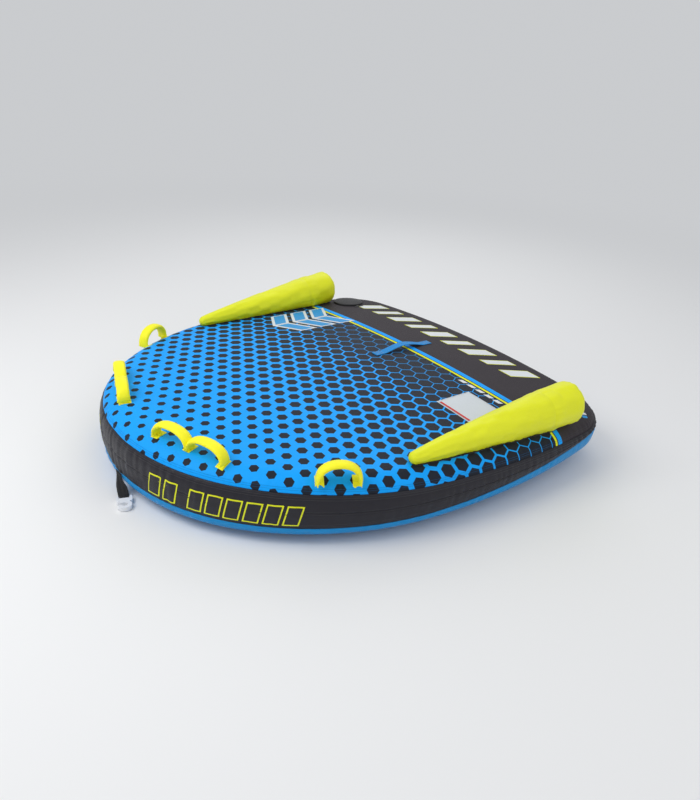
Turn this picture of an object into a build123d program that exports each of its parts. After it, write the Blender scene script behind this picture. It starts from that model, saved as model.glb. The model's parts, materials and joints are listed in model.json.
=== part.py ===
from build123d import *
import os
from math import asin, cos, degrees, pi, radians, sin, sqrt

os.makedirs("parts", exist_ok=True)

# Towable deck tube, lying on its underside.
# Frame: +Y to the stern, -Y to the tow end, +X to port, +Z up. Millimetres.
# The origin is on the flat that the tube rests on, halfway along the hull.

# ---------------------------------------------------------------- hull
# Half outline, nose to stern, as tangent arcs: radius and turn in degrees.
# One last flat arc closes it on the centreline.
NOSE_ARC = (875, 44.7)
SHOULDER_ARC = (1190, 35.7)
SIDE_ARC = (3150, 15.9)
CORNER_ARC = (293, 80.9)
HULL_NOSE_Y = -1025

DECK_TOP = 310  # highest point of the crowned deck
DECK_APEX_Y = -157
DECK_CROWN = (9500, 20500)  # radius across, radius along
UNDERSIDE_CROWN = (8000, 12000)
REST_DEPTH = 10  # how much of the underside's crown is pressed flat where it rests
TOP_EDGE_RADIUS = 96
BOTTOM_EDGE_RADIUS = 56

# Lower seam between the side band and the bottom cover: it climbs towards the stern
LOWER_SEAM_Z = 63
LOWER_SEAM_Y = -443
LOWER_SEAM_CROWN = (17000, 9500)
UPPER_SEAM_DROP = 49  # the deck cover reaches this far below the crown
STERN_PANEL_Y = 508  # front edge of the stern panel

COVER = 2.0
BLADDER_GAP = 0.3
BLADDER_WALL = 1.2
PATCH = 2.0
CLEAR = 0.3

BAFFLE_PITCH = 310
BAFFLE_ENDS = (-620, 700)

# ---------------------------------------------------------------- side bolsters
BOLSTER_TIP = (841, -187, 26)  # centre x, y and radius of the front ball
BOLSTER_STERN = (902, 645, 93)
BOLSTER_SINK = 0.93  # height of the centreline above the deck, in radii
BOLSTER_CAP_BULGE = 52
BOLSTER_RING_SEAM = 155  # from the stern end
BOLSTER_COVER = 1.5
BOLSTER_FLANGE_SPREAD = 14
BOLSTER_VALVE_RADIUS = 12

# ---------------------------------------------------------------- grab handles
GRIP_WIDTH = 45
GRIP_THICKNESS = 24
SLEEVE = 1.6
HANDLE_WEBBING = (36, 3)
HINGE_LIFT = 21
GRIP_LEAN = 12
GRIP_CORNER = 36
# port-side feet on the deck, and the height of each grip's middle above its feet
DOUBLE_FEET = ((163, -917), (318, -862), (472, -808))
DOUBLE_RISE = 44
SINGLE_FEET = ((738, -562), (806, -440))
SINGLE_RISE = 64
PINCH_GAP = 28  # between the two legs that share the middle foot

# ---------------------------------------------------------------- tow strap and hook
TOW_ROOT = (0, -1032, 82)
TOW_BAR = (95, -1052, 11)
WEBBING = 50
WEBBING_THICKNESS = 5
HOOK_HEADING = -20  # degrees from +X, on the floor
HOOK_THICKNESS = 16
HOOK_WIDTH = 62
HOOK_BAR_RADIUS = 5

# ---------------------------------------------------------------- main valve
VALVE_XY = (-792, 762)
FLAP_RADIUS = 88
FLAP_RISE = 17
VALVE_MOUTH = 62  # hole in the stern panel
VALVE_BORE = 19
VALVE_NECK = 24
VALVE_FLANGE = 45

# ---------------------------------------------------------------- zipper, strap and patch
ZIP_LENGTH = 400
ZIP_Z = 150
STRAP_Y = (308, 683)
STRAP_WIDTH = 42
STRAP_RISE = 22
STRAP_TAB = 55
LABEL_CENTRE = (632, 330)
LABEL_SIZE = (205, 205)

PORT, STARBOARD = 1, -1


def save(node, shape):
    solids = shape.solids() if hasattr(shape, "solids") else shape
    export_step(Compound(children=list(solids)) if len(solids) > 1 else solids[0], f"parts/{node}.step")


# ---------------------------------------------------------------- hull surfaces
def outline(inset):
    """Plan of the hull, every arc moved in by inset."""
    heading, x, y = 0.0, 0.0, HULL_NOSE_Y + inset
    half = []

    def arc(radius, turn):
        nonlocal heading, x, y
        cx, cy = x - radius * sin(heading), y + radius * cos(heading)
        points = [(x, y)]
        for part in (0.5, 1.0):
            a = heading + turn * part
            points.append((cx + radius * sin(a), cy - radius * cos(a)))
        x, y = points[-1]
        heading += turn
        half.append(points)

    for radius, turn in (NOSE_ARC, SHOULDER_ARC, SIDE_ARC, CORNER_ARC):
        arc(radius - inset, radians(turn))
    arc(x / sin(heading), pi - heading)

    def mirrored(p):
        return (-p[0], p[1])

    nose, stern = half[0], half[-1]
    edges = [
        ThreePointArc(mirrored(nose[2]), nose[0], nose[2]),
        ThreePointArc(stern[0], stern[2], mirrored(stern[0])),
    ]
    for points in half[1:-1]:
        edges.append(ThreePointArc(*points))
        edges.append(ThreePointArc(*[mirrored(p) for p in points]))
    return make_face(edges)


def under_dome(apex_z, across, along, apex_y, inset=0.0):
    """Everything under a dome that curves with one radius across and another along the hull."""
    half_width, depth, half_length = 1400, 700, 1500
    across -= inset
    apex = apex_z - inset
    fall = across - sqrt(across**2 - half_width**2)
    left, right = (-half_width, apex - fall), (half_width, apex - fall)
    rim = ThreePointArc(left, (0, apex), right)
    sides = Polyline(left, (-half_width, apex - depth), (half_width, apex - depth), right)
    section = Plane.XZ.offset(-apex_y) * make_face([*rim.edges(), *sides.edges()])
    axis = Axis((0, apex_y, apex_z - along), (1, 0, 0))
    swing = degrees(asin(half_length / along))
    return revolve(section.rotate(axis, swing), axis, -2 * swing)


def over_bowl(apex_z, across, along, apex_y, inset=0.0):
    """Everything over a bowl, the mirror image of under_dome."""
    return under_dome(-apex_z, across, along, apex_y, inset).mirror(Plane.XY)


def hull(inset):
    """The inflated hull with every face moved in by inset."""
    body = Pos(0, 0, -100) * extrude(outline(inset), 600)
    body &= under_dome(DECK_TOP, *DECK_CROWN, DECK_APEX_Y, inset)
    body &= over_bowl(-REST_DEPTH, *UNDERSIDE_CROWN, DECK_APEX_Y, inset)
    body = fillet(body.faces().sort_by(Axis.Z)[-1].edges(), TOP_EDGE_RADIUS - inset)
    body = fillet(body.faces().sort_by(Axis.Z)[0].edges(), BOTTOM_EDGE_RADIUS - inset)
    return body & (Pos(0, 0, 500 + inset) * Box(3000, 3000, 1000))


def skin(outer, inner, region):
    """A patch lying on the hull, between two hull offsets, over a region."""
    return (outer - inner) & region


HULL = hull(0)
HULL_CLEAR = hull(-CLEAR)
HULL_PATCH = hull(-CLEAR - PATCH)


def deck_point(x, y):
    """Point on the deck cover above (x, y), and the outward normal there."""
    hits = HULL.find_intersection_points(Axis((x, y, 1000), (0, 0, -1)))
    return max(hits, key=lambda hit: hit[0].Z)


def deck_plane(x, y, x_dir=(1, 0, 0)):
    point, normal = deck_point(x, y)
    flat = Vector(*x_dir) - normal * Vector(*x_dir).dot(normal)
    return Plane(origin=point, x_dir=flat, z_dir=normal)


VALVE_PLANE = deck_plane(*VALVE_XY)


# ---------------------------------------------------------------- covers and main bladder
def make_covers():
    shell = HULL - hull(COVER)
    deck_seam = under_dome(DECK_TOP - UPPER_SEAM_DROP, *DECK_CROWN, DECK_APEX_Y)
    low_seam = over_bowl(LOWER_SEAM_Z, *LOWER_SEAM_CROWN, LOWER_SEAM_Y)
    stern = Pos(0, STERN_PANEL_Y + 1000, 300) * Box(3000, 2000, 1200)
    top = shell - deck_seam
    below = shell & deck_seam
    mouth = VALVE_PLANE * Cylinder(VALVE_MOUTH, 40)
    slot = Pos(0, 1024, ZIP_Z) * Box(ZIP_LENGTH, 30, 9)
    save("deck_cover", top - stern)
    save("stern_panel", (top & stern) - mouth)
    save("side_band", below & low_seam)
    save("bottom_cover", (below - low_seam) - slot)


def make_main_bladder():
    outer = hull(COVER + BLADDER_GAP)
    inside = hull(COVER + BLADDER_GAP + BLADDER_WALL)
    bore = VALVE_PLANE * Cylinder(VALVE_NECK, 60)
    save("main_bladder", outer - inside - bore)
    first, last = BAFFLE_ENDS
    sheet = Pos(0, (first + last) / 2, 200) * Box(BLADDER_WALL, last - first, 600)
    baffles = [inside & (Pos(i * BAFFLE_PITCH, 0, 0) * sheet) for i in (-2, -1, 0, 1, 2)]
    save("bladder_baffles", ShapeList([s for b in baffles for s in b.solids()]))


# ---------------------------------------------------------------- bolsters
def bolster_axis():
    """Start and end of the port bolster's centreline, and their radii."""
    ends = []
    for x, y, radius in (BOLSTER_TIP, BOLSTER_STERN):
        point, _ = deck_point(x, y)
        ends.append((Vector(x, y, point.Z + BOLSTER_SINK * radius), radius))
    return ends


def bolster_plane():
    (tip, _), (stern, _) = bolster_axis()
    along = (stern - tip).normalized()
    return Plane(origin=tip, x_dir=along, z_dir=Vector(0, 0, 1) - along * along.Z)


def bolster_roll(inset, under):
    """Tapered roll with a ball at the tip and a bulged stern end, standing on the hull offset `under`."""
    (tip, r_tip), (stern, r_stern) = bolster_axis()
    length = (stern - tip).length
    r0, r1 = r_tip - inset, r_stern - inset
    slope = asin((r_stern - r_tip) / length)
    start = (-r0 * sin(slope), r0 * cos(slope))
    shoulder = (length, r1 / cos(slope))
    end = (length + BOLSTER_CAP_BULGE - inset, 0)
    ball = ThreePointArc((-r0, 0), (-r0 * cos(slope / 2 - pi / 4), -r0 * sin(slope / 2 - pi / 4)), start)
    side = Line(start, shoulder)
    crown_mid = (length + (BOLSTER_CAP_BULGE - inset) * 0.72, r1 * 0.66)
    cap = ThreePointArc(shoulder, crown_mid, end)
    face = make_face([ball, side, cap, Line(end, (-r0, 0))])
    return bolster_plane() * revolve(face, Axis.X) - under


def make_bolster(side, name):
    place = (lambda s: s) if side == PORT else (lambda s: s.mirror(Plane.YZ))
    gap = BOLSTER_COVER + BLADDER_GAP
    lift = CLEAR + PATCH + CLEAR
    outer = bolster_roll(0, hull(-lift))
    inner = bolster_roll(BOLSTER_COVER, hull(-lift - BOLSTER_COVER))
    bladder_out = bolster_roll(gap, hull(-lift - gap))
    bladder_in = bolster_roll(gap + BLADDER_WALL, hull(-lift - gap - BLADDER_WALL))

    (tip, _), (stern, _) = bolster_axis()
    plane = bolster_plane()
    length = (stern - tip).length
    stern_half = plane * (Pos(length - BOLSTER_RING_SEAM + 500, 0, 0) * Box(1000, 600, 600))
    valve_axis = plane * (Pos(length + BOLSTER_CAP_BULGE, 0, 0) * Rot(0, 90, 0))
    bore = valve_axis * Cylinder(BOLSTER_VALVE_RADIUS + CLEAR, 30)
    cover = outer - inner
    save(f"{name}_bolster_cover", place(cover - stern_half))
    save(f"{name}_bolster_end", place((cover & stern_half) - bore))
    save(f"{name}_bolster_bladder", place(bladder_out - bladder_in - bore))

    spread = BOLSTER_FLANGE_SPREAD
    (xa, ya, ra), (xb, yb, rb) = BOLSTER_TIP, BOLSTER_STERN
    flange = Polyline(
        (xa - ra - spread, ya - ra - spread), (xa + ra + spread, ya - ra - spread),
        (xb + rb * 0.72, yb), (xb - rb * 0.72, yb), close=True)
    region = Pos(0, 0, 150) * extrude(make_face(flange), 400)
    save(f"{name}_bolster_flange", place(skin(HULL_PATCH, HULL_CLEAR, region)))

    stem = Cylinder(BOLSTER_VALVE_RADIUS, 22) - Cylinder(BOLSTER_VALVE_RADIUS - 3, 22)
    stem += Pos(0, 0, 12) * (Cylinder(20, 2.5) - Cylinder(BOLSTER_VALVE_RADIUS - 3, 2.5))
    plug = Pos(0, 0, 9) * Cylinder(BOLSTER_VALVE_RADIUS - 3 - CLEAR, 10)
    plug += Pos(0, 0, 15.3) * Cylinder(15, 3.4)
    plug += Pos(0, 0, 19) * Box(22, 4, 6)
    save(f"{name}_bolster_valve", place(valve_axis * stem))
    save(f"{name}_bolster_valve_cap", place(valve_axis * plug))


# ---------------------------------------------------------------- grab handles
def handle_frame(feet):
    """Plane whose x runs from the first foot to the last, lifted to the hinge line."""
    points = [deck_point(x, y) for x, y in (feet[0], feet[-1])]
    normal = (points[0][1] + points[1][1]).normalized()
    first, last = [p + normal * HINGE_LIFT for p, _ in points]
    along = (last - first).normalized()
    up = Vector(0, 0, 1) - along * along.Z
    return Plane(origin=(first + last) * 0.5, x_dir=along, z_dir=up), (last - first).length


def grip_path(left, right, rise):
    return FilletPolyline(
        (left, 0, 0), (left + GRIP_LEAN, 0, rise), (right - GRIP_LEAN, 0, rise), (right, 0, 0),
        radius=GRIP_CORNER)


def along_grip(path, width, thickness):
    """Bar of rounded section along a grip's path."""
    start = Plane(origin=path @ 0, x_dir=(0, 1, 0), z_dir=path % 0)
    corner = min(width, thickness) / 2 - 0.05
    section = start * (RectangleRounded(width, thickness, corner) if corner > 2 else Rectangle(width, thickness))
    return sweep(section, path)


def make_handle(feet, rise, side, name):
    frame, span = handle_frame(feet)
    half = span / 2
    if len(feet) == 2:
        spans = [(-half, half)]
    else:
        spans = [(-half, -PINCH_GAP / 2), (PINCH_GAP / 2, half)]
    place = (lambda s: s) if side == PORT else (lambda s: s.mirror(Plane.YZ))
    labels = [""] if len(spans) == 1 else ["_inner", "_outer"]
    for (left, right), label in zip(spans, labels):
        path = grip_path(left, right, rise)
        outer = along_grip(path, GRIP_WIDTH, GRIP_THICKNESS)
        core = along_grip(path, GRIP_WIDTH - 2 * SLEEVE, GRIP_THICKNESS - 2 * SLEEVE)
        band = along_grip(path, *HANDLE_WEBBING)
        save(f"{name}{label}_sleeve", place(frame * (outer - core)))
        save(f"{name}{label}_foam", place(frame * (core - band)))
        save(f"{name}{label}_webbing", place(frame * band))


def handle_anchors(feet):
    """Bar-tacked webbing tabs on the deck, one under each foot, with a short stub up to the grip."""
    frame, _ = handle_frame(feet)
    tabs = []
    for x, y in feet:
        point, normal = deck_point(x, y)
        spot = Plane(origin=point, x_dir=frame.x_dir, z_dir=normal)
        tabs.append(skin(HULL_PATCH, HULL_CLEAR, spot * Box(34, 52, 60)))
        tabs[-1] += (spot * (Pos(0, 0, 5.2) * Box(24, 9, 7))) - HULL_CLEAR
    return tabs


def make_handles():
    anchors = []
    for side, name in ((PORT, "port"), (STARBOARD, "starboard")):
        make_handle(DOUBLE_FEET, DOUBLE_RISE, side, f"{name}_front_handle")
        make_handle(SINGLE_FEET, SINGLE_RISE, side, f"{name}_side_handle")
        for feet in (DOUBLE_FEET, SINGLE_FEET):
            for tab in handle_anchors(feet):
                anchors += (tab if side == PORT else tab.mirror(Plane.YZ)).solids()
    save("handle_anchors", ShapeList(anchors))


# ---------------------------------------------------------------- tow strap and hook
def tow_frames():
    """Root plane on the nose and bar plane on the hook: x across the webbing, z out along the strap."""
    root, bar = Vector(*TOW_ROOT), Vector(*TOW_BAR)
    run = (bar - root).normalized()
    heading = radians(HOOK_HEADING)
    across = Vector(-sin(heading), cos(heading), 0)
    root_plane = Plane(root, x_dir=(1, 0, 0), z_dir=(0, run.Y, run.Z))
    bar_plane = Plane(bar, x_dir=across, z_dir=run - across * across.dot(run))
    flat_plane = Plane(bar, x_dir=(cos(heading), sin(heading), 0), z_dir=(0, 0, 1))
    return root_plane, bar_plane, flat_plane


def make_tow_strap():
    """Webbing from the nose to a sewn loop round the hook's bar."""
    root, bar, flat = tow_frames()
    bore = HOOK_BAR_RADIUS + CLEAR
    ring = bore + 3
    end = bar.offset(-bore - 2)
    tape = loft([
        root * Rectangle(WEBBING, WEBBING_THICKNESS),
        end * Rectangle(WEBBING - 8, WEBBING_THICKNESS),
    ], ruled=True)
    across = flat * Rot(90, 0, 0)
    loop = across * Cylinder(ring, WEBBING - 12)
    save("tow_strap", (tape + loop) - across * Cylinder(bore, WEBBING + 30))


def make_tow_hook():
    """Moulded hook, lying flat: a bar for the webbing, a plate and an open ring for the rope."""
    _, _, flat = tow_frames()
    slot_end, plate_end, ring_centre, ring_radius, throat = 12, 34, 56, 28, 12
    plate = Pos((plate_end - 7) / 2, 0) * RectangleRounded(plate_end + 7, HOOK_WIDTH, 8)
    ring = Pos(ring_centre, 0) * (Circle(ring_radius) - Circle(throat))
    gate = Pos(ring_centre - 4, -ring_radius / 2 - 2) * Rectangle(14, ring_radius + 4)
    slot = Pos(slot_end - 20, 0) * Rectangle(40, WEBBING - 4)
    shape = (plate - Pos(ring_centre, 0) * Circle(throat)) + ring - gate - slot
    hook = flat * extrude(shape, HOOK_THICKNESS / 2, both=True)
    hook += flat * Rot(90, 0, 0) * Cylinder(HOOK_BAR_RADIUS, WEBBING)
    save("tow_hook", hook)


def make_tow_patch():
    """Reinforcement on the nose, and the tab that the strap is sewn to."""
    patch = Polyline((-120, 222), (120, 222), (34, 76), (-34, 76), close=True)
    region = extrude(Plane.XZ.offset(800) * make_face(patch), 400)
    save("tow_patch", skin(HULL_PATCH, HULL_CLEAR, region))
    x, y, z = TOW_ROOT
    tab = Pos(x, y + 4, z + 11) * Box(WEBBING + 6, 6, 14)
    save("tow_tab", tab - HULL_PATCH)


# ---------------------------------------------------------------- main valve
def make_valve():
    top = -COVER - BLADDER_GAP  # outer face of the bladder, below the panel
    flange = Pos(0, 0, top + 1.2) * (Cylinder(VALVE_FLANGE, 2) - Cylinder(VALVE_NECK + CLEAR, 2))
    save("valve_flange", VALVE_PLANE * flange)

    neck = Pos(0, 0, -9) * (Cylinder(VALVE_NECK - CLEAR, 30) - Cylinder(VALVE_BORE, 30))
    seat = Pos(0, 0, -23) * (Cylinder(VALVE_NECK - CLEAR, 2) - Cylinder(VALVE_BORE - 5, 2))
    spider = Pos(0, 0, -16) * (Box(2 * VALVE_BORE, 4, 2) + Box(4, 2 * VALVE_BORE, 2) + Cylinder(6, 2))
    spider -= Pos(0, 0, -16) * Cylinder(3 + CLEAR, 4)
    save("valve_body", VALVE_PLANE * (neck + seat + spider))

    disc = Pos(0, 0, -25.2) * Cylinder(VALVE_BORE - 2, 2)
    stem = Pos(0, 0, -14) * Cylinder(3, 24)
    head = Pos(0, 0, -1) * Cylinder(6.5, 2)
    save("valve_poppet", VALVE_PLANE * (disc + stem + head))

    coil_wire, coil_radius, coil_height = 0.9, 4.8, 11.0
    coil = Helix(pitch=2.6, height=coil_height, radius=coil_radius)
    wire = sweep(Plane(coil @ 0, z_dir=coil % 0) * Circle(coil_wire / 2), coil, is_frenet=True)
    save("valve_spring", VALVE_PLANE * (Pos(0, 0, -14) * wire))

    crown = Pos(0, 0, 8.6) * Cylinder(28, 2.6)
    skirt = Pos(0, 0, 4.3) * (Cylinder(28, 6) - Cylinder(VALVE_NECK, 6))
    bar = Pos(0, 0, 11) * Box(44, 5, 2.4)
    save("valve_cap", VALVE_PLANE * (crown + skirt + bar))

    # domed cloth flap: a shell with a corded rim
    ball = (FLAP_RADIUS**2 + FLAP_RISE**2) / (2 * FLAP_RISE)
    low = FLAP_RISE - ball
    base = Pos(0, 0, 300) * Box(600, 600, 600)
    shell = Pos(0, 0, low) * (Sphere(ball) - Sphere(ball - 2.5)) & base
    rim = Pos(0, 0, 3.6) * Torus(FLAP_RADIUS - 3.5, 3)
    save("valve_flap", VALVE_PLANE * ((shell + rim) & (Pos(0, 0, 300.9) * Box(600, 600, 600))))
    tab = VALVE_PLANE * (Pos(FLAP_RADIUS + 14, 0, 0) * Box(18, 60, 40))
    save("valve_flap_hinge", skin(HULL_PATCH, HULL_CLEAR, tab))


# ---------------------------------------------------------------- zipper
def make_zipper():
    rear = 1024.0
    tape = Pos(0, rear + 1.0, ZIP_Z) * Box(ZIP_LENGTH + 20, 0.8, 30)
    save("zipper_tape", tape - HULL_CLEAR)
    pitch = 10
    count = int(ZIP_LENGTH / pitch)
    chain = Pos(0, rear + 2.4, ZIP_Z) * Box(ZIP_LENGTH, 1.6, 6)
    teeth = [Pos((i + 0.5) * pitch - ZIP_LENGTH / 2, rear + 2.4, ZIP_Z) * Box(4, 2.0, 7) for i in range(count)]
    save("zipper_chain", chain + teeth)

    park = Pos(ZIP_LENGTH / 2 - 14, rear + 3.9, ZIP_Z)
    slider = Box(16, 4.4, 12) - Pos(0, -1.2, 0) * Box(20, 2.4, 7.8)
    rod_y = 4.7
    rod = Pos(-3, rod_y, 0) * Rot(0, 90, 0)
    slider += Pos(-3, 3.4, 0) * Box(2.4, 3.6, 4) + rod * Cylinder(0.9, 6)
    save("zipper_slider", park * slider)
    pull = Pos(-3, rod_y, -11.2) * Box(7, 2.6, 25.6)
    pull -= Pos(-3, rod_y, 0) * Box(3.6, 4, 5.2)
    save("zipper_pull", park * (pull - rod * Cylinder(1.0, 12)))


# ---------------------------------------------------------------- boarding strap and plain patch
def make_boarding_strap():
    first, last = STRAP_Y
    thickness = 4
    ground = [deck_point(0, y)[0].Z for y in (first, first + STRAP_TAB, (first + last) / 2, last - STRAP_TAB, last)]
    low = [z + CLEAR + 0.2 for z in ground]
    mid = (first + last) / 2
    under = [
        Line((first, low[0]), (first + STRAP_TAB, low[1])),
        ThreePointArc((first + STRAP_TAB, low[1]), (mid, low[2] + STRAP_RISE), (last - STRAP_TAB, low[3])),
        Line((last - STRAP_TAB, low[3]), (last, low[4])),
    ]
    over = [
        Line((first, low[0] + thickness), (first + STRAP_TAB, low[1] + thickness)),
        ThreePointArc((first + STRAP_TAB, low[1] + thickness), (mid, low[2] + STRAP_RISE + thickness),
                      (last - STRAP_TAB, low[3] + thickness)),
        Line((last - STRAP_TAB, low[3] + thickness), (last, low[4] + thickness)),
    ]
    ends = [Line((y, z), (y, z + thickness)) for y, z in ((first, low[0]), (last, low[4]))]
    section = Plane.YZ * make_face([*under, *over, *ends])
    save("boarding_strap", extrude(section, STRAP_WIDTH / 2, both=True) - HULL_CLEAR)


def make_label():
    region = Pos(*LABEL_CENTRE, 300) * Box(*LABEL_SIZE, 400)
    save("plain_patch", skin(hull(-CLEAR - 0.8), HULL_CLEAR, region))


def main():
    make_covers()
    make_main_bladder()
    for side, name in ((PORT, "port"), (STARBOARD, "starboard")):
        make_bolster(side, name)
    make_handles()
    make_tow_strap()
    make_tow_hook()
    make_tow_patch()
    make_valve()
    make_zipper()
    make_boarding_strap()
    make_label()


main()
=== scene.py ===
import json
import math

import bmesh
import bpy
import numpy as np
from mathutils import Matrix, Vector


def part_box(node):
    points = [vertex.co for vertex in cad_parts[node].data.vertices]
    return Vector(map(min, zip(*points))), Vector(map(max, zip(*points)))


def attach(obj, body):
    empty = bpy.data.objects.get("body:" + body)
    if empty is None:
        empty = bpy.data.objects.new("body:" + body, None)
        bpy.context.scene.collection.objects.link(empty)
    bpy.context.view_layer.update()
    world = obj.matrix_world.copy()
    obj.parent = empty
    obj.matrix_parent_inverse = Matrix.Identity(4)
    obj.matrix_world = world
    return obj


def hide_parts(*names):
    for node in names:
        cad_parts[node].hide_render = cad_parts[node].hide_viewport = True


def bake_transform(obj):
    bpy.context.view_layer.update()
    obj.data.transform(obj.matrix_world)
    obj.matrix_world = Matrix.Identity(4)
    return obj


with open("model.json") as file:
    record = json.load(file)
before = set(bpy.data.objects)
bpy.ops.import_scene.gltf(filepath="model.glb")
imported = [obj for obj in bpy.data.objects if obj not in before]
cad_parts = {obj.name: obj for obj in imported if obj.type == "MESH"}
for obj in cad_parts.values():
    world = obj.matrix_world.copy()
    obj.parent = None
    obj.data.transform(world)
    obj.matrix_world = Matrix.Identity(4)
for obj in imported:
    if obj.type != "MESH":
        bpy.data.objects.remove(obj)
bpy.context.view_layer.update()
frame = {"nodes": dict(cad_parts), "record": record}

# ---------------------------------------------------------------- sizes of the hull, in metres
# half outline, nose to stern, as tangent arcs: radius and turn in degrees
ARCS = ((0.875, 44.7), (1.190, 35.7), (3.150, 15.9), (0.293, 80.9))
NOSE_Y = -1.025
DECK_TOP, DECK_APEX_Y, DECK_CROWN = 0.310, -0.157, (9.5, 20.5)
UNDER_DEPTH, UNDER_CROWN = 0.010, (8.0, 12.0)
TOP_R, BOTTOM_R = 0.096, 0.056
UPPER_DROP = 0.049
LOWER_SEAM = (0.063, -0.443, 34.0, 19.0)
STERN_Y = 0.508
AROUND = 1160

BOLSTER_TIP = (0.841, -0.187, 0.026)
BOLSTER_STERN = (0.902, 0.645, 0.093)
BOLSTER_SINK = 0.93
BOLSTER_BULGE = 0.052
BOLSTER_SEAM = 0.155
BOLSTER_SWELL = 0.009

HINGE_LIFT = 0.021
DOUBLE_FEET = ((0.163, -0.917), (0.472, -0.808))
SINGLE_FEET = ((0.738, -0.562), (0.806, -0.440))
DOUBLE_RISE, SINGLE_RISE = 0.044, 0.064
PINCH_GAP = 0.028
GRIP_HALF = (0.0245, 0.012)  # half width and half thickness
SPLAY = 0.010  # how far each foot spreads past its hinge

HEX = 0.0715  # pitch of the printed honeycomb
HEX_START_Y = -0.300
SEAM_ROWS = (0.012, 0.020)  # distance of the two stitch rows from a seam
SKIN = 0.0015  # thickness of the hull's fabric
SLOPE_STEP = 0.01
PORT, STARBOARD = 1, -1

JOINTS = {joint["name"]: joint for joint in frame["record"]["behaviour"]["joints"]}

# ---------------------------------------------------------------- camera
CAMERA_AT = (2.550, -1.943, 1.738)
CAMERA_TURN, CAMERA_TILT, CAMERA_ROLL = 50.36, 26.49, 3.60
CAMERA_LENS = 33.3


def make_camera():
    turn, tilt, roll = (math.radians(a) for a in (CAMERA_TURN, CAMERA_TILT, CAMERA_ROLL))
    back = Vector((math.sin(turn) * math.cos(tilt), -math.cos(turn) * math.cos(tilt), math.sin(tilt)))
    right = Vector((math.cos(turn), math.sin(turn), 0))
    up = back.cross(right)
    level = Matrix((right, up, back)).transposed()
    data = bpy.data.cameras.new("camera")
    data.lens = CAMERA_LENS
    camera = bpy.data.objects.new("camera", data)
    bpy.context.collection.objects.link(camera)
    camera.matrix_world = Matrix.Translation(CAMERA_AT) @ (level @ Matrix.Rotation(roll, 3, "Z")).to_4x4()
    bpy.context.scene.camera = camera


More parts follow.
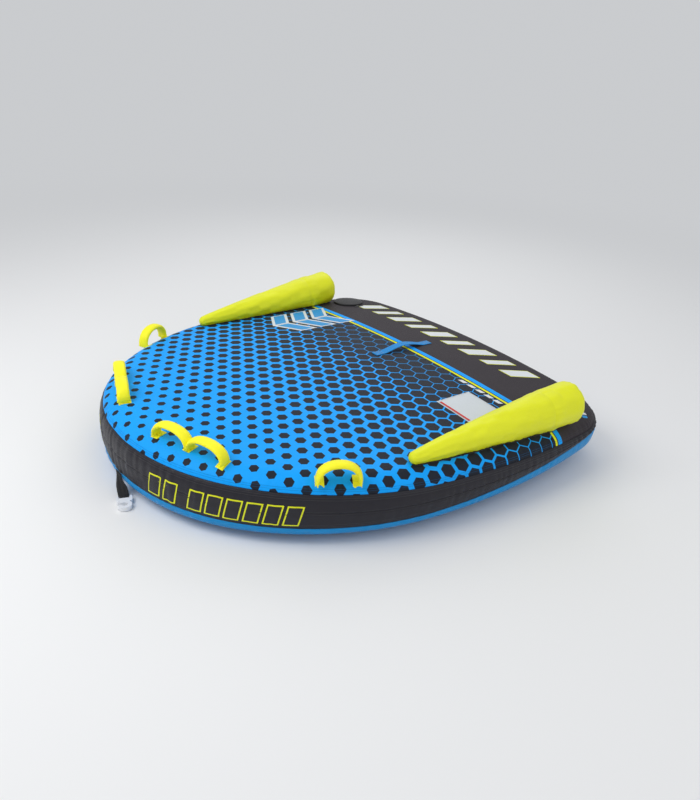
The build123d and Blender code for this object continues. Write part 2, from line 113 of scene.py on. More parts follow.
# ---------------------------------------------------------------- materials
class Shade:
    """A material being built: short names for the nodes it uses."""

    def __init__(self, name):
        self.material = bpy.data.materials.new(name)
        self.material.use_nodes = True
        self.tree = self.material.node_tree
        self.shader = self.tree.nodes["Principled BSDF"]

    def node(self, kind, **settings):
        made = self.tree.nodes.new(kind)
        for key, value in settings.items():
            setattr(made, key, value)
        return made

    def join(self, source, socket):
        if isinstance(source, (int, float)):
            socket.default_value = source
        elif isinstance(source, tuple):
            socket.default_value = (*source, 1.0) if len(socket.default_value) == 4 else source
        else:
            self.tree.links.new(source, socket)

    def math(self, operation, *values, clamp=False):
        made = self.node("ShaderNodeMath", operation=operation, use_clamp=clamp)
        for value, socket in zip(values, made.inputs):
            self.join(value, socket)
        return made.outputs[0]

    def attribute(self, name):
        made = self.node("ShaderNodeSeparateXYZ")
        source = self.node("ShaderNodeAttribute", attribute_name=name)
        self.tree.links.new(source.outputs["Vector"], made.inputs[0])
        return made.outputs[0], made.outputs[1], made.outputs[2]

    def place(self):
        return self.node("ShaderNodeTexCoord").outputs["Object"]

    def noise(self, scale, detail=3.0, vector=None, rough=0.55):
        made = self.node("ShaderNodeTexNoise")
        made.inputs["Scale"].default_value = scale
        made.inputs["Detail"].default_value = detail
        made.inputs["Roughness"].default_value = rough
        self.tree.links.new(vector or self.place(), made.inputs["Vector"])
        return made.outputs["Fac"]

    def mix(self, factor, first, second, blend="MIX"):
        made = self.node("ShaderNodeMix", data_type="RGBA", blend_type=blend)
        self.join(factor, made.inputs[0])
        self.join(first, made.inputs[6])
        self.join(second, made.inputs[7])
        return made.outputs[2]

    def step(self, value, edge, soft):
        """0 below the edge and 1 above it."""
        made = self.node("ShaderNodeMapRange", interpolation_type="SMOOTHSTEP")
        for name, number in (("From Min", -soft), ("From Max", soft)):
            made.inputs[name].default_value = number
        self.join(self.math("SUBTRACT", value, edge), made.inputs["Value"])
        return made.outputs[0]

    def within(self, value, low, high, soft):
        below = self.math("SUBTRACT", 1.0, self.step(value, high, soft))
        return self.math("MULTIPLY", self.step(value, low, soft), below)

    def stripe(self, value, centre, half, soft):
        return self.within(value, centre - half, centre + half, soft)

    def threads(self, pitch):
        """Height of a plain weave, over and under, at that thread pitch."""
        waves = []
        for axis in ("X", "Y", "Z"):
            wave = self.node("ShaderNodeTexWave", bands_direction=axis)
            wave.inputs["Scale"].default_value = 0.314 / pitch
            self.tree.links.new(self.place(), wave.inputs["Vector"])
            waves.append(wave.outputs["Fac"])
        return self.math("ADD", self.math("MULTIPLY", waves[0], waves[1]), waves[2])

    def finish(self, colour, rough, weave=0.0012, weave_depth=0.25, spots=0.12, extra=None, shine=0.35):
        """Connects the colour with cloudy variation, uneven roughness, the weave and any extra relief."""
        cloud = self.noise(7.0, 4.0)
        fine = self.noise(160.0, 2.0)
        lift = self.math("MULTIPLY_ADD", cloud, 2 * spots, 1.0 - spots)
        lift = self.math("MULTIPLY_ADD", fine, spots, lift)
        grey = self.node("ShaderNodeCombineColor")
        for socket in grey.inputs[:3]:
            self.tree.links.new(lift, socket)
        shaded = self.mix(1.0, colour, grey.outputs[0], "MULTIPLY")
        self.tree.links.new(shaded, self.shader.inputs["Base Color"])
        uneven = self.math("MULTIPLY_ADD", fine, 0.16, rough - 0.08)
        self.tree.links.new(uneven, self.shader.inputs["Roughness"])
        self.shader.inputs["Specular IOR Level"].default_value = shine
        bump = self.node("ShaderNodeBump")
        bump.inputs["Strength"].default_value = weave_depth
        bump.inputs["Distance"].default_value = 0.0006
        height = self.threads(weave) if weave else self.noise(420.0, 2.0)
        self.tree.links.new(height, bump.inputs["Height"])
        if extra is not None:
            relief = self.node("ShaderNodeBump")
            relief.inputs["Strength"].default_value = 0.8
            relief.inputs["Distance"].default_value = 0.001
            self.tree.links.new(extra, relief.inputs["Height"])
            self.tree.links.new(bump.outputs[0], relief.inputs["Normal"])
            bump = relief
        self.tree.links.new(bump.outputs[0], self.shader.inputs["Normal"])
        return self.material

    def stitches(self, along, across, row, pitch=0.007, half=0.0009):
        """Dashes of thread in a row at that distance from a seam."""
        phase = self.math("FRACT", self.math("DIVIDE", along, pitch))
        dash = self.within(phase, 0.14, 0.86, 0.06)
        line = self.stripe(across, row, half, 0.0003)
        return self.math("MULTIPLY", dash, line)


DECK_BLUE = (0.0, 0.35, 0.95)
DEEP_BLUE = (0.0, 0.20, 0.50)
NAVY = (0.009, 0.013, 0.024)
BLACK = (0.014, 0.013, 0.019)
STERN_BLACK = (0.034, 0.028, 0.034)
YELLOW = (0.80, 0.83, 0.010)
GRIP_YELLOW = (0.98, 0.92, 0.015)
PALE = (0.62, 0.66, 0.70)


def hex_distance(shade, x, y):
    """Distance from the nearest honeycomb centre, square to the nearest flat."""
    def centred(value, shift):
        return shade.math("SUBTRACT", shade.math("FRACT", shade.math("ADD", value, shift)), 0.5)

    column = HEX * math.sqrt(3)
    near = None
    for shift in (0.0, 0.5):
        fx = centred(shade.math("DIVIDE", x, column), 10.5 + shift)
        row = shade.math("DIVIDE", shade.math("SUBTRACT", y, HEX_START_Y), HEX)
        fy = centred(row, 20.0 + shift)
        px = shade.math("MULTIPLY", shade.math("ABSOLUTE", fx), column)
        py = shade.math("MULTIPLY", shade.math("ABSOLUTE", fy), HEX)
        slant = shade.math("MULTIPLY_ADD", px, math.sqrt(3) / 2, shade.math("MULTIPLY", py, 0.5))
        far = shade.math("MAXIMUM", py, slant)
        near = far if near is None else shade.math("MINIMUM", near, far)
    return near


def seam_rows(shade):
    """Two rows of stitches beside the seam, and the fold between them, from the seam attribute."""
    along, across, _ = shade.attribute("seam")
    first, second = (shade.stitches(along, across, row, pitch=0.0045, half=0.0007) for row in SEAM_ROWS)
    return shade.math("ADD", first, second), shade.within(across, -1.0, 0.025, 0.001)


def deck_print():
    shade = Shade("deck_print_fabric")
    x, y, _ = shade.attribute("flat")
    size = shade.math("MULTIPLY", shade.math("ADD", y, 1.03), 1 / 1.33, clamp=True)
    size = shade.math("POWER", size, 1.2)
    half = shade.math("MULTIPLY_ADD", size, HEX * 0.63 * 0.433, HEX * 0.45 * 0.433)
    inside = shade.math("SUBTRACT", 1.0, shade.step(hex_distance(shade, x, y), half, 0.0007))
    rear = shade.within(y, 0.32, 5.0, 0.16)
    middle = shade.math("SUBTRACT", 1.0, shade.step(shade.math("ABSOLUTE", x), 0.45, 0.35))
    blue = shade.mix(shade.math("MULTIPLY", rear, middle), DECK_BLUE, DEEP_BLUE)
    thread, fold = seam_rows(shade)
    colour = shade.mix(inside, blue, NAVY)
    colour = shade.mix(shade.math("MULTIPLY", thread, 0.6), colour, (0.0, 0.13, 0.32))
    relief = shade.math("ADD", thread, shade.math("MULTIPLY", fold, 0.6))
    return shade.finish(colour, 0.55, spots=0.07, extra=relief, shine=0.2)


def stern_print():
    shade = Shade("stern_panel_fabric")
    _, y, _ = shade.attribute("flat")
    yellow = shade.stripe(y, 0.517, 0.0065, 0.0006)
    blue = shade.stripe(y, 0.544, 0.014, 0.0006)
    thread, fold = seam_rows(shade)
    colour = shade.mix(yellow, STERN_BLACK, YELLOW)
    colour = shade.mix(blue, colour, DECK_BLUE)
    colour = shade.mix(thread, colour, (0.05, 0.05, 0.05))
    relief = shade.math("ADD", thread, shade.math("MULTIPLY", fold, 0.6))
    return shade.finish(colour, 0.62, extra=relief, shine=0.2)


def band_print():
    shade = Shade("side_band_nylon")
    along, height, _ = shade.attribute("flat")
    middle = shade.stripe(height, 0.5, 0.006, 0.003)
    thread, _ = seam_rows(shade)
    off_middle = shade.math("ABSOLUTE", shade.math("SUBTRACT", height, 0.5))
    hem = shade.stitches(along, off_middle, 0.035, half=0.005)
    thread = shade.math("MAXIMUM", thread, hem)
    colour = shade.mix(thread, BLACK, (0.05, 0.05, 0.055))
    relief = shade.math("SUBTRACT", thread, middle)
    return shade.finish(colour, 0.42, extra=relief, weave_depth=0.2, shine=0.3)


def plain(name, colour, rough, **settings):
    return Shade(name).finish(colour, rough, **settings)


# ---------------------------------------------------------------- mesh helpers
def link(name, verts, faces, material, smooth=True):
    mesh = bpy.data.meshes.new(name)
    mesh.from_pydata([tuple(v) for v in verts], [], faces)
    mesh.validate()
    made = bpy.data.objects.new(name, mesh)
    bpy.context.collection.objects.link(made)
    if material:
        mesh.materials.append(material)
    if smooth:
        mesh.polygons.foreach_set("use_smooth", [True] * len(mesh.polygons))
    return made


def grid_faces(rows, columns, wrap):
    faces = []
    for j in range(rows - 1):
        for i in range(columns if wrap else columns - 1):
            k = (i + 1) % columns
            faces.append((j * columns + i, j * columns + k, (j + 1) * columns + k, (j + 1) * columns + i))
    return faces


def grid(name, points, material, wrap=True, caps=(False, False), flip=False, **attributes):
    """Mesh from rows of points. A cap closes the first or last row with a fan."""
    rows, columns = points.shape[:2]
    verts = list(points.reshape(-1, 3))
    extras = {key: list(np.asarray(value).reshape(-1, 3)) for key, value in attributes.items()}
    faces = grid_faces(rows, columns, wrap)
    for wanted, row, outward in ((caps[0], 0, True), (caps[1], rows - 1, False)):
        if wanted:
            verts.append(points[row].mean(0))
            for key in extras:
                extras[key].append(np.asarray(attributes[key])[row].mean(0))
            hub = len(verts) - 1
            for i in range(columns):
                a, b = row * columns + i, row * columns + (i + 1) % columns
                faces.append((b, a, hub) if outward else (a, b, hub))
    if flip:
        faces = [tuple(reversed(face)) for face in faces]
    made = link(name, verts, faces, material)
    for key, values in extras.items():
        layer = made.data.attributes.new(key, "FLOAT_VECTOR", "POINT")
        layer.data.foreach_set("vector", np.asarray(values, float).ravel())
    return made


def thicken(piece, depth):
    shell = piece.modifiers.new("thickness", "SOLIDIFY")
    shell.thickness = depth
    shell.offset = -1.0


def face_outward(piece, join_closer=None):
    """Turns the faces outward, after joining points closer than that distance."""
    work = bmesh.new()
    work.from_mesh(piece.data)
    if join_closer:
        bmesh.ops.remove_doubles(work, verts=work.verts[:], dist=join_closer)
    bmesh.ops.recalc_face_normals(work, faces=work.faces[:])
    work.to_mesh(piece.data)
    work.free()


def bell(value, centre, width):
    return np.exp(-(((value - centre) / width) ** 2))


def unit(rows):
    return rows / np.linalg.norm(rows, axis=1)[:, None]


def vector_rows(shape, *parts):
    """Rows of vectors of that shape, one part for each component."""
    return np.dstack([np.broadcast_to(part, shape) for part in parts])


def soft_noise(seed, position, length, waves):
    """Smooth random curve along a closed or open length, from a few sines of those wavelengths."""
    random = np.random.RandomState(seed)
    total = np.zeros_like(position)
    for wave in waves:
        turns = max(1, round(length / wave))
        total += np.sin(2 * np.pi * turns * position / length + random.uniform(0, 2 * np.pi))
    return total / len(waves)


def puckers(seed, position, length, spacing):
    """Round ridges with sharp valleys between them, unevenly spaced, from 0 to 1."""
    turns = round(length / spacing)
    drift = 1.3 * soft_noise(seed + 1, position, length, (spacing * 5.3, spacing * 3.1, spacing * 8.7))
    strength = 0.55 + 0.45 * soft_noise(seed + 2, position, length, (spacing * 4.3, spacing * 7.9))
    return np.abs(np.sin(np.pi * turns * position / length + drift)) * strength


# ---------------------------------------------------------------- hull surfaces
def dome(x, y, top, crown, apex_y):
    across = crown[0] - np.sqrt(crown[0] ** 2 - x**2)
    return top - crown[1] + np.sqrt((crown[1] - across) ** 2 - (y - apex_y) ** 2)


def deck_z(x, y):
    return dome(x, y, DECK_TOP, DECK_CROWN, DECK_APEX_Y)


def under_z(x, y):
    return np.maximum(-dome(x, y, UNDER_DEPTH, UNDER_CROWN, DECK_APEX_Y), 0.0)


def make_outline():
    """Evenly spaced points round the hull from the nose by port, with outward normals."""
    heading, x, y = 0.0, 0.0, NOSE_Y
    points, normals = [], []
    arcs = [(radius, math.radians(turn)) for radius, turn in ARCS]
    for number in range(len(arcs) + 1):
        if number == len(arcs):
            arcs.append((x / math.sin(heading), math.pi - heading))
        radius, turn = arcs[number]
        cx, cy = x - radius * math.sin(heading), y + radius * math.cos(heading)
        for a in np.linspace(heading, heading + turn, 400):
            points.append((cx + radius * math.sin(a), cy - radius * math.cos(a)))
            normals.append((math.sin(a), -math.cos(a)))
        x, y = points[-1]
        heading += turn
    half, half_n = np.array(points), np.array(normals)
    mirror = np.array((-1.0, 1.0))
    whole = np.vstack([half, (half * mirror)[::-1]])
    normal = np.vstack([half_n, (half_n * mirror)[::-1]])
    run = np.concatenate([[0], np.cumsum(np.linalg.norm(np.diff(whole, axis=0), axis=1))])
    even = np.linspace(0, run[-1], AROUND, endpoint=False)
    keep = np.concatenate([[True], np.diff(run) > 1e-9])
    xy = np.stack([np.interp(even, run[keep], whole[keep, k]) for k in (0, 1)], 1)
    out = np.stack([np.interp(even, run[keep], normal[keep, k]) for k in (0, 1)], 1)
    return xy, unit(out), even, run[-1]


EDGE, OUT, RUN, LENGTH = make_outline()


def inset_point(inset):
    """Outline points moved in, one inset for each point or rows of them."""
    inset = np.asarray(inset)
    return EDGE[None] - inset[..., None] * OUT[None]


def edge_profile():
    """Inset and height down the hull's side at each outline point: deck fillet, wall, bottom fillet."""
    def slope(surface, radius):
        inner = inset_point(np.full((1, AROUND), radius + SLOPE_STEP))[0]
        outer = inset_point(np.full((1, AROUND), radius - SLOPE_STEP))[0]
        return (surface(inner[:, 0], inner[:, 1]) - surface(outer[:, 0], outer[:, 1])) / (2 * SLOPE_STEP)

    tilt_top = np.arctan(slope(deck_z, TOP_R))
    tilt_low = np.arctan(-slope(under_z, BOTTOM_R))
    start = TOP_R * (1 - np.sin(tilt_top))
    begin = inset_point(start[None])[0]
    centre_top = deck_z(begin[:, 0], begin[:, 1]) - TOP_R * np.cos(tilt_top)
    finish = BOTTOM_R * (1 - np.sin(tilt_low))
    end = inset_point(finish[None])[0]
    centre_low = under_z(end[:, 0], end[:, 1]) + BOTTOM_R * np.cos(tilt_low)
    insets, heights = [], []
    for step in np.linspace(0, 1, 40):
        angle = tilt_top + (np.pi / 2 - tilt_top) * step
        insets.append(TOP_R * (1 - np.sin(angle)))
        heights.append(centre_top + TOP_R * np.cos(angle))
    for step in np.linspace(0, 1, 12)[1:]:
        insets.append(np.zeros(AROUND))
        heights.append(centre_top + (centre_low - centre_top) * step)
    for step in np.linspace(0, 1, 30)[1:]:
        angle = np.pi / 2 + (tilt_low - np.pi / 2) * step
        insets.append(BOTTOM_R * (1 - np.sin(angle)))
        heights.append(centre_low - BOTTOM_R * np.cos(angle))
    return np.array(insets), np.array(heights)


INSET, HEIGHT = edge_profile()
STEPS = np.hypot(np.diff(INSET, axis=0), np.diff(HEIGHT, axis=0))
DEPTH = np.vstack([np.zeros(AROUND), np.cumsum(STEPS, axis=0)])


def seam_depths():
    """Distance down the side at which the upper and lower seams lie."""
    xy = inset_point(INSET)
    upper = HEIGHT - (deck_z(xy[..., 0], xy[..., 1]) - UPPER_DROP)
    base, apex_y, across, along = LOWER_SEAM
    lower = HEIGHT - (base + xy[..., 0] ** 2 / across + (xy[..., 1] - apex_y) ** 2 / along)
    found = []
    for gap in (upper, lower):
        found.append(np.array([np.interp(0, -gap[:, i], DEPTH[:, i]) for i in range(AROUND)]))
    return found


UPPER, LOWER = seam_depths()


def on_side(depth, table):
    """Value of a table at each depth, one of its columns for each outline point."""
    return np.stack([np.interp(depth[:, i], DEPTH[:, i], table[:, i]) for i in range(AROUND)], 1)


def side_rows(first, last, shares, push):
    """Points on the side between two depths. push gives how far each stands off the hull."""
    depth = first + (last - first) * np.asarray(shares)[:, None]
    inset, height = on_side(depth, INSET), on_side(depth, HEIGHT)
    reach = 0.004
    fore = on_side(depth + reach, -INSET) - on_side(depth - reach, -INSET)
    aft = on_side(depth + reach, HEIGHT) - on_side(depth - reach, HEIGHT)
    norm = np.hypot(fore, aft)
    out_part, up_part = -aft / norm, fore / norm
    stand = push(depth, first, last)
    xy = inset_point(inset - stand * out_part)
    return np.dstack([xy[..., 0], xy[..., 1], height + stand * up_part]), depth


def surface_z(x, y):
    """Height of the hull's top at each point, with the rounded edge."""
    x, y = np.atleast_1d(np.asarray(x, float)), np.atleast_1d(np.asarray(y, float))
    z = deck_z(x, y)
    for k in range(len(x)):
        gap = EDGE - (x[k], y[k])
        i = int(np.argmin((gap**2).sum(1)))
        inset = float(gap[i] @ OUT[i])
        if inset < INSET[0, i]:
            z[k] = np.interp(-inset, -INSET[:40, i], HEIGHT[:40, i]) if inset > 0 else HEIGHT[39, i]
    return z


def make_hull(materials):
    # deck: rings that shrink to the middle, then the rounded edge down to the seam
    ring = inset_point(INSET[:1])[0]
    scales = np.concatenate([[0.02], np.linspace(0.06, 1, 34)[:-1]])
    inner = np.stack([ring * scale for scale in scales])
    inner_z = deck_z(inner[..., 0], inner[..., 1])
    inner_points = np.dstack([inner, inner_z])

    ridge = puckers(3, RUN, LENGTH, 0.034)
    slow = soft_noise(8, RUN, LENGTH, (0.31, 0.17, 0.23))

    def deck_push(depth, first, last):
        gap = last - depth
        rise = 0.0035 * bell(gap, 0.022, 0.02)
        return rise * (0.6 + 0.8 * ridge) + 0.0012 * bell(gap, 0.0, 0.012) * slow

    shares = np.linspace(0, 1, 30)
    edge_points, depth = side_rows(np.zeros(AROUND), UPPER, shares, deck_push)
    points = np.vstack([inner_points, edge_points])
    middle = inner.shape[:2]
    flat_xy = ring[None] + depth[..., None] * OUT[None]
    flat = np.vstack([vector_rows(middle, inner[..., 0], inner[..., 1], 0.0),
                      vector_rows(depth.shape, flat_xy[..., 0], flat_xy[..., 1], 0.0)])
    seam = np.vstack([vector_rows(middle, RUN, 1.0, 0.0),
                      vector_rows(depth.shape, RUN, UPPER - depth, 0.0)])
    pieces = []
    for name, node, clear_rear in (("deck_skin", "deck_cover", True),
                                   ("stern_panel_skin", "stern_panel", False)):
        piece = grid(name, points, materials[node], caps=(True, False), flip=True, flat=flat, seam=seam)
        work = bmesh.new()
        work.from_mesh(piece.data)
        everything = work.verts[:] + work.edges[:] + work.faces[:]
        bmesh.ops.bisect_plane(work, geom=everything, plane_co=(0, STERN_Y, 0), plane_no=(0, 1, 0),
                               clear_outer=clear_rear, clear_inner=not clear_rear)
        work.to_mesh(piece.data)
        work.free()
        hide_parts(node)
        pieces.append(piece)

    # side band: bulges between its seams and puckers towards them
    up_ridge, low_ridge = puckers(21, RUN, LENGTH, 0.041), puckers(33, RUN, LENGTH, 0.047)
    through = soft_noise(40, RUN, LENGTH, (0.052, 0.083, 0.037, 0.12))
    nose = 0.55 + 0.9 * bell(np.minimum(RUN, LENGTH - RUN), 0.0, 0.55)

    def band_push(depth, first, last):
        share = (depth - first) / (last - first)
        bulge = 0.0085 * np.sin(np.pi * share) ** 0.8
        top, low = depth - first, last - depth
        folds = nose * 0.0050 * up_ridge * np.exp(-top / 0.036) * (1 - np.exp(-top / 0.005))
        folds += nose * 0.0056 * low_ridge * np.exp(-low / 0.040) * (1 - np.exp(-low / 0.005))
        middle = -0.0022 * bell(share, 0.5, 0.035)
        side = nose * 0.0022 * through * np.sin(np.pi * share) ** 0.5
        mid_folds = 0.0024 * up_ridge * bell(share, 0.5, 0.16) * (1 - np.exp(-np.abs(share - 0.5) / 0.03))
        return bulge + folds + middle + side + mid_folds

    shares = np.concatenate([np.linspace(0, 0.12, 7), np.linspace(0.15, 0.85, 30), np.linspace(0.88, 1, 7)])
    points, depth = side_rows(UPPER, LOWER, shares, band_push)
    band_points, band_shares = points, shares
    flat = vector_rows(depth.shape, RUN, shares[:, None], 0.0)
    seam = vector_rows(depth.shape, RUN, np.minimum(depth - UPPER, LOWER - depth), 0.0)
    band = grid("side_band_skin", points, materials["side_band"], flip=True, flat=flat, seam=seam)
    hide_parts("side_band")
    pieces.append(band)

    # bottom cover: from the lower seam round the edge to the flat that it rests on
    tuck = puckers(55, RUN, LENGTH, 0.052)

    def bottom_push(depth, first, last):
        return 0.004 * (0.4 + tuck) * bell(depth - first, 0.018, 0.018)

    last = DEPTH[-1]
    side_points, depth = side_rows(LOWER, last, np.linspace(0, 1, 24), bottom_push)
    side_points[..., 2] = np.maximum(side_points[..., 2], 0.0)
    ring = inset_point(INSET[-1:])[0]
    scales = np.concatenate([np.linspace(1, 0.06, 26)[1:], [0.02]])
    inner = np.stack([ring * scale for scale in scales])
    inner_points = np.dstack([inner, under_z(inner[..., 0], inner[..., 1])])
    points = np.vstack([side_points, inner_points])
    seam = np.vstack([vector_rows(depth.shape, RUN, depth - LOWER, 0.0),
                      vector_rows(inner.shape[:2], RUN, 1.0, 0.0)])
    bottom = grid("bottom_cover_skin", points, materials["bottom_cover"], caps=(False, True), flip=True,
                  seam=seam)
    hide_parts("bottom_cover")
    pieces.append(bottom)
    for piece in pieces:
        thicken(piece, SKIN)
        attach(piece, "tube")
    return band_surface(band_points, band_shares)


# ---------------------------------------------------------------- bolsters
def bolster_frame():
    ends = []
    for x, y, radius in (BOLSTER_TIP, BOLSTER_STERN):
        ends.append(Vector((x, y, float(surface_z(x, y)[0]) + BOLSTER_SINK * radius)))
    along = (ends[1] - ends[0]).normalized()
    up = (Vector((0, 0, 1)) - along * along.z).normalized()
    return ends[0], along, up.cross(along), up, (ends[1] - ends[0]).length


def bolster_profile(length):
    """Stations along the roll: distance along the axis and radius."""
    r0, r1 = BOLSTER_TIP[2], BOLSTER_STERN[2]
    stations = []
    for angle in np.linspace(0.06, np.pi / 2, 12):
        stations.append((-r0 * math.cos(angle), r0 * math.sin(angle)))
    for share in np.linspace(0, 1, 110)[1:]:
        swell = BOLSTER_SWELL * math.sin(math.pi * share) ** 0.7
        stations.append((length * share, r0 + (r1 - r0) * share + swell))
    for angle in np.linspace(0, np.pi / 2 - 0.06, 22)[1:]:
        stations.append((length + BOLSTER_BULGE * math.sin(angle), r1 * math.cos(angle) ** 0.72))
    return stations


def make_bolsters(materials):
    origin, along, side, up, length = bolster_frame()
    stations = bolster_profile(length)
    around = 128
    angles = np.linspace(0, 2 * np.pi, around, endpoint=False)
    reach = np.array([s for s, _ in stations])
    radius = np.array([r for _, r in stations])
    ring_at = length - BOLSTER_SEAM
    tuck_seam = puckers(61, angles, 2 * np.pi, 0.33)
    tuck_end = puckers(67, angles, 2 * np.pi, 0.42)
    run_folds = puckers(71, reach - reach[0], 1.2, 0.043)
    rows = []
    for k, (s, r) in enumerate(zip(reach, radius)):
        gap = s - ring_at
        pull = -0.002 * bell(gap, 0.0, 0.006) + 0.0025 * bell(abs(gap), 0.03, 0.03)
        pucker = 0.0035 * tuck_seam * math.exp(-abs(gap) / 0.035) * (1 - math.exp(-abs(gap) / 0.006))
        end_gap = max(0.0, s - length)
        ends = 0.004 * tuck_end * min(1.0, end_gap / 0.02) * (1 - 0.4 * end_gap / BOLSTER_BULGE)
        low = np.clip((-np.sin(angles) - 0.30) / 0.5, 0, 1)
        hem = 0.0045 * run_folds[k] * low * min(1.0, r / 0.05)
        crease = 0.0016 * soft_noise(80 + k // 9, angles, 2 * np.pi, (1.1, 0.7))
        size = r + (pull + pucker + ends + crease) * min(1.0, r / 0.04) + hem
        place = (np.array(origin)[None] + s * np.array(along)[None]
                 + (size * np.cos(angles))[:, None] * np.array(side)[None]
                 + (size * np.sin(angles))[:, None] * np.array(up)[None])
        rows.append(place)
    points = np.array(rows)
    ground = surface_z(points[..., 0].ravel(), points[..., 1].ravel())
    ground = ground.reshape(points.shape[:2]) + 0.0035
    lift = points[..., 2] - ground
    points[..., 2] = ground + np.where(lift > 0, lift, 0.0)
    for sign, name in ((PORT, "port"), (STARBOARD, "starboard")):
        shaped = points * np.array((sign, 1, 1))
        piece = grid(f"{name}_bolster_skin", shaped, materials["bolster"], caps=(True, True),
                     flip=sign == PORT)
        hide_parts(f"{name}_bolster_cover", f"{name}_bolster_end", f"{name}_bolster_flange")
        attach(piece, "tube")
        # black strips of painted shadow along the foot of the bolster, on both sides
        painted_shadow_strips(name, shaped, ground, materials["hem"])


def painted_shadow_strips(name, points, ground, material):
    """Black strips of painted shadow where the bolster's fabric meets the deck, along both sides."""
    touching = points[..., 2] <= ground + 0.0012
    around = points.shape[1]
    half = around // 2
    lowest = half + half // 2
    for side, columns in (("inboard", range(lowest, around)), ("outboard", range(lowest, half - 1, -1))):
        line = []
        for k in range(6, points.shape[0] - 6):
            last = [c for c in columns if touching[k, c]]
            if last:
                line.append(points[k, last[-1]])
        line = np.array(line)
        if len(line) < 4:
            continue
        smooth = np.copy(line)
        for _ in range(6):
            smooth[1:-1] = (smooth[:-2] + 2 * smooth[1:-1] + smooth[2:]) / 4
        tangent = unit(np.gradient(smooth, axis=0))
        across = np.stack([-tangent[:, 1], tangent[:, 0], np.zeros(len(line))], 1)
        rows = []
        for offset, rise in ((-0.005, 0.0), (-0.004, 0.0016), (0.0, 0.0026), (0.004, 0.0016), (0.005, 0.0)):
            place = smooth + across * offset
            place[:, 2] = surface_z(place[:, 0], place[:, 1]) + 0.0008 + rise
            rows.append(place)
        piece = grid(f"{name}_bolster_hem_{side}", np.array(rows), material, wrap=False)
        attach(piece, "tube")


# ---------------------------------------------------------------- grab handles
def make_sleeve(name, origin, axis, up, centre, half, rise, material, nodes, seed):
    """Padded arch from deck to deck, oval in section, pinched at its feet."""
    across = up.cross(axis)
    steps, around = 84, 40
    angles = np.linspace(0, 2 * np.pi, around, endpoint=False)
    path = []
    for step in np.linspace(0, 1, steps):
        c, s = math.cos(math.pi * (1 - step)), math.sin(math.pi * step)
        reach = (half + SPLAY) * (abs(c) ** 0.92) * (1 if c > 0 else -1)
        path.append((centre + reach, -HINGE_LIFT + 0.004 + (rise + HINGE_LIFT - 0.004) * s ** 0.80))
    path = np.array(path)
    run = np.concatenate([[0], np.cumsum(np.linalg.norm(np.diff(path, axis=0), axis=1))])
    even = np.linspace(0, run[-1], steps)
    path = np.stack([np.interp(even, run, path[:, k]) for k in (0, 1)], 1)
    tangent = unit(np.gradient(path, axis=0))
    folds = puckers(seed, even, run[-1] * 1.001, 0.016)
    rows = []
    for k in range(steps):
        from_foot = min(even[k], run[-1] - even[k])
        swell = min(1.0, from_foot / 0.05) ** 0.7
        width, depth = GRIP_HALF[0] * (1.08 - 0.08 * swell), GRIP_HALF[1] * (0.34 + 0.66 * swell)
        ca, sa = np.cos(angles), np.sin(angles)
        y = width * np.sign(ca) * np.abs(ca) ** 0.85 * (1 + 0.05 * folds[k] - 0.02)
        n = depth * np.sign(sa) * np.abs(sa) ** 0.85
        n = n * (1 + 0.10 * folds[k] * np.abs(ca) ** 2)
        seam = np.exp(-((np.abs(sa) / 0.16) ** 2))
        y = y * (1 + 0.055 * seam)
        tx, tz = tangent[k]
        px, pz = path[k, 0] - tz * n, path[k, 1] + tx * n
        rows.append(np.array(origin)[None] + px[:, None] * np.array(axis)[None]
                    + y[:, None] * np.array(across)[None] + pz[:, None] * np.array(up)[None])
    points = np.array(rows)
    piece = grid(name, points, material, caps=(True, True))
    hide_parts(*nodes)
    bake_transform(piece)


def make_handles(materials):
    for name in ("port", "starboard"):
        for kind, feet, rise in (("front", DOUBLE_FEET, DOUBLE_RISE), ("side", SINGLE_FEET, SINGLE_RISE)):
            joint = JOINTS[f"{name}_{kind}_handle_tip"]
            origin, axis = Vector(joint["pos_m"]), Vector(joint["axis"])
            up = (Vector((0, 0, 1)) - axis * axis.z).normalized()
            (x0, y0), (x1, y1) = feet
            half = math.hypot(x1 - x0, y1 - y0) / 2
            body = f"{name}_{kind}_handle"
            if kind == "side":
                make_sleeve(f"{body}_padding", origin, axis, up, 0.0, half, rise, materials["handle"],
                            [f"{body}_sleeve", f"{body}_foam", f"{body}_webbing"], 5)
                continue
            middle = (half + PINCH_GAP / 2) / 2
            arm = (half - PINCH_GAP / 2) / 2
            for end, label in ((-1, "inner"), (1, "outer")):
                nodes = [f"{body}_{label}_{inside}" for inside in ("sleeve", "foam", "webbing")]
                make_sleeve(f"{body}_{label}_padding", origin, axis, up, end * middle, arm, rise,
                            materials["handle"], nodes, 7 + end)


# ---------------------------------------------------------------- printed shapes
def sheared(centre, width, height, slant, turn=0.0):
    """Corners of a leaning bar: x is its width and y its height before it is turned."""
    x, y = centre
    corners = []
    for u, v in ((-1, -1), (1, -1), (1, 1), (-1, 1)):
        a, b = u * width / 2 + v * slant / 2, v * height / 2
        corners.append((x + a * math.cos(turn) - b * math.sin(turn),
                        y + a * math.sin(turn) + b * math.cos(turn)))
    return corners


def print_shapes(name, quads, surface, lift, material):
    """Thin printed quads lying on a surface, joined into one piece."""
    verts, faces = [], []
    cells = 8
    share = np.linspace(0, 1, cells + 1)
    for quad in quads:
        a, b, c, d = (np.array(corner) for corner in quad)
        start = len(verts)
        for v in share:
            for u in share:
                x, y = (a * (1 - u) + b * u) * (1 - v) + (d * (1 - u) + c * u) * v
                verts.append(surface(x, y, lift))
        faces += [tuple(start + k for k in face) for face in grid_faces(cells + 1, cells + 1, False)]
    piece = link(name, verts, faces, material)
    face_outward(piece)
    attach(piece, "tube")


def on_deck(x, y, lift):
    return (x, y, float(surface_z(x, y)[0]) + lift)


